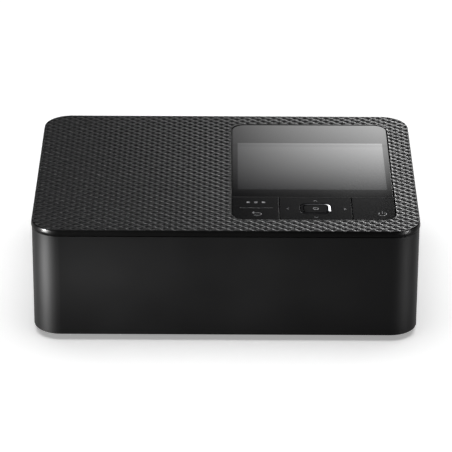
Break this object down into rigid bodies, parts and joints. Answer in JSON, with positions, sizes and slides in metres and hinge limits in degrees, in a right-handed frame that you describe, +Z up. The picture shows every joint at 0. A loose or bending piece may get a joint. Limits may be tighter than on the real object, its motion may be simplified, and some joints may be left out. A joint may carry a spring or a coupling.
{
  "type": "compact photo printer",
  "caption": "Low box-shaped dye-film photo printer with a hinged front cover, glossy control panel with screen and keys, side film door, rear flap and print mechanism.",
  "frame": {"origin": "centre of the footprint, on the surface the printer stands on", "axes": "+X to the right seen from the front, along the longest side; +Y to the rear; +Z up; the front cover faces -Y"},
  "size_m": [0.1822, 0.133, 0.0576],
  "materials": {
    "satin_black": "satin moulded",
    "textured_black": "embossed lattice, polished lip",
    "gloss_black": "polished",
    "window": "hard-coated window",
    "rubber": "moulded",
    "steel": "zinc plated sheet and bar",
    "bright_ring": "plated",
    "white_plastic": "acetal",
    "board": "solder mask",
    "chips": "moulded",
    "lcd": "display glass",
    "case_grey": "moulded",
    "film": "dye film",
    "alloy": "extruded",
    "ceramic": "glazed ceramic",
    "membrane": "silicone"
  },
  "bodies": {
    "casing": {"base_tray": "satin_black", "outer_shell": "satin_black", "top_cover": "textured_black", "front_bezel": "satin_black", "ink_door_pin": "steel", "rear_flap_pin": "steel", "rubber_feet": "rubber", "base_screws": "steel", "panel_frame": "satin_black", "display_window": "window", "lcd_module": "lcd", "ok_ring": "bright_ring", "key_membrane": "membrane", "tact_switches": "steel", "switch_board": "board", "card_socket": "steel", "main_board": "board", "board_parts": "chips", "dc_jack": "gloss_black", "usb_socket": "steel", "side_plate_left": "steel", "side_plate_right": "steel", "gear_bracket": "steel", "head_pivot": "steel", "feed_motor": "steel", "film_motor": "steel", "head_motor": "steel", "film_case": "case_grey", "film": "film"},
    "front_cover": {"front_cover": "satin_black"},
    "ink_door": {"ink_door": "satin_black"},
    "rear_flap": {"rear_flap": "satin_black"},
    "menu_key": {"menu_key": "gloss_black"},
    "nav_web": {"nav_web": "satin_black"},
    "nav_key": {"nav_key": "gloss_black"},
    "ok_key": {"ok_key": "gloss_black"},
    "power_key": {"power_key": "gloss_black"},
    "grip_roller": {"grip_roller": "steel", "grip_gear": "white_plastic"},
    "pinch_roller": {"pinch_roller": "rubber"},
    "pickup_roller": {"pickup_shaft": "steel", "pickup_tyres": "rubber", "pickup_gear": "white_plastic"},
    "platen": {"platen_shaft": "steel", "platen_rubber": "rubber"},
    "feed_pinion": {"feed_pinion": "white_plastic"},
    "film_pinion": {"film_pinion": "white_plastic"},
    "head_pinion": {"head_pinion": "white_plastic"},
    "supply_spool": {"supply_spool": "film"},
    "takeup_spool": {"takeup_gear": "white_plastic", "takeup_spool": "film"},
    "print_head": {"head_arm": "steel", "heat_sink": "alloy", "thermal_head": "ceramic"},
    "cam_shaft": {"cam_shaft": "steel"},
    "eject_lever": {"eject_lever": "white_plastic"}
  },
  "joints": [
    {"name": "front_cover_hinge", "type": "hinge", "parent": "casing", "child": "front_cover", "pos_m": [0, -0.0612, 0.0065], "axis": [1, 0, 0], "range_deg": [0, 90]},
    {"name": "ink_door_hinge", "type": "hinge", "parent": "casing", "child": "ink_door", "pos_m": [0.0889, 0.049, 0.03], "axis": [0, 0, 1], "range_deg": [0, 95]},
    {"name": "rear_flap_hinge", "type": "hinge", "parent": "casing", "child": "rear_flap", "pos_m": [0, 0.0643, 0.0256], "axis": [1, 0, 0], "range_deg": [0, 90]},
    {"name": "menu_key_rock", "type": "hinge", "parent": "casing", "child": "menu_key", "pos_m": [0.014, -0.0411, 0.0554], "axis": [1, 0, 0], "range_deg": [-2, 2], "stiffness_Nm_per_rad": 0.2},
    {"name": "nav_web_rock", "type": "hinge", "parent": "casing", "child": "nav_web", "pos_m": [0.0424, -0.0411, 0.05495], "axis": [0, 1, 0], "range_deg": [-1.2, 1.2], "stiffness_Nm_per_rad": 0.3},
    {"name": "nav_key_rock", "type": "hinge", "parent": "nav_web", "child": "nav_key", "pos_m": [0.0424, -0.0411, 0.0554], "axis": [1, 0, 0], "range_deg": [-1.8, 1.8], "stiffness_Nm_per_rad": 0.3},
    {"name": "ok_key_press", "type": "slide", "parent": "casing", "child": "ok_key", "axis": [0, 0, -1], "range_m": [0, 0.0004], "stiffness_N_per_m": 400},
    {"name": "power_key_press", "type": "slide", "parent": "casing", "child": "power_key", "axis": [0, 0, -1], "range_m": [0, 0.0004], "stiffness_N_per_m": 400},
    {"name": "grip_roller_spin", "type": "hinge", "parent": "casing", "child": "grip_roller", "pos_m": [0, -0.018, 0.0145], "axis": [1, 0, 0], "continuous": true},
    {"name": "pickup_roller_spin", "type": "hinge", "parent": "casing", "child": "pickup_roller", "pos_m": [0, -0.03596, 0.0265], "axis": [1, 0, 0], "continuous": true},
    {"name": "feed_pinion_spin", "type": "hinge", "parent": "casing", "child": "feed_pinion", "pos_m": [-0.07, -0.01162, 0.02651], "axis": [1, 0, 0], "continuous": true},
    {"name": "pinch_roller_spin", "type": "hinge", "parent": "casing", "child": "pinch_roller", "pos_m": [0, -0.018, 0.0217], "axis": [1, 0, 0], "continuous": true},
    {"name": "platen_spin", "type": "hinge", "parent": "casing", "child": "platen", "pos_m": [0, 0.014, 0.0125], "axis": [1, 0, 0], "continuous": true},
    {"name": "takeup_spool_spin", "type": "hinge", "parent": "casing", "child": "takeup_spool", "pos_m": [0, 0.032, 0.0301], "axis": [1, 0, 0], "continuous": true},
    {"name": "film_pinion_spin", "type": "hinge", "parent": "casing", "child": "film_pinion", "pos_m": [-0.07, 0.03989, 0.01527], "axis": [1, 0, 0], "continuous": true},
    {"name": "supply_spool_spin", "type": "hinge", "parent": "casing", "child": "supply_spool", "pos_m": [0, -0.004, 0.0301], "axis": [1, 0, 0], "continuous": true},
    {"name": "cam_shaft_turn", "type": "hinge", "parent": "casing", "child": "cam_shaft", "pos_m": [0, 0.052, 0.0359], "axis": [1, 0, 0], "range_deg": [0, 120]},
    {"name": "head_pinion_turn", "type": "hinge", "parent": "casing", "child": "head_pinion", "pos_m": [-0.07, 0.0464, 0.0456], "axis": [1, 0, 0], "range_deg": [-160, 0]},
    {"name": "print_head_swing", "type": "hinge", "parent": "casing", "child": "print_head", "pos_m": [0, 0.044, 0.0445], "axis": [1, 0, 0], "range_deg": [0, 8]},
    {"name": "eject_lever_swing", "type": "hinge", "parent": "casing", "child": "eject_lever", "pos_m": [0.067, -0.02, 0.028], "axis": [1, 0, 0], "range_deg": [0, 25], "stiffness_Nm_per_rad": 0.02}
  ],
  "couplings": [
    {"joint": "pickup_roller_spin", "follows": "grip_roller_spin", "ratio": -0.6875},
    {"joint": "feed_pinion_spin", "follows": "grip_roller_spin", "ratio": -1.8333},
    {"joint": "film_pinion_spin", "follows": "takeup_spool_spin", "ratio": -2.5},
    {"joint": "head_pinion_turn", "follows": "cam_shaft_turn", "ratio": -1.3333},
    {"joint": "print_head_swing", "follows": "cam_shaft_turn", "ratio": 0.066667}
  ]
}
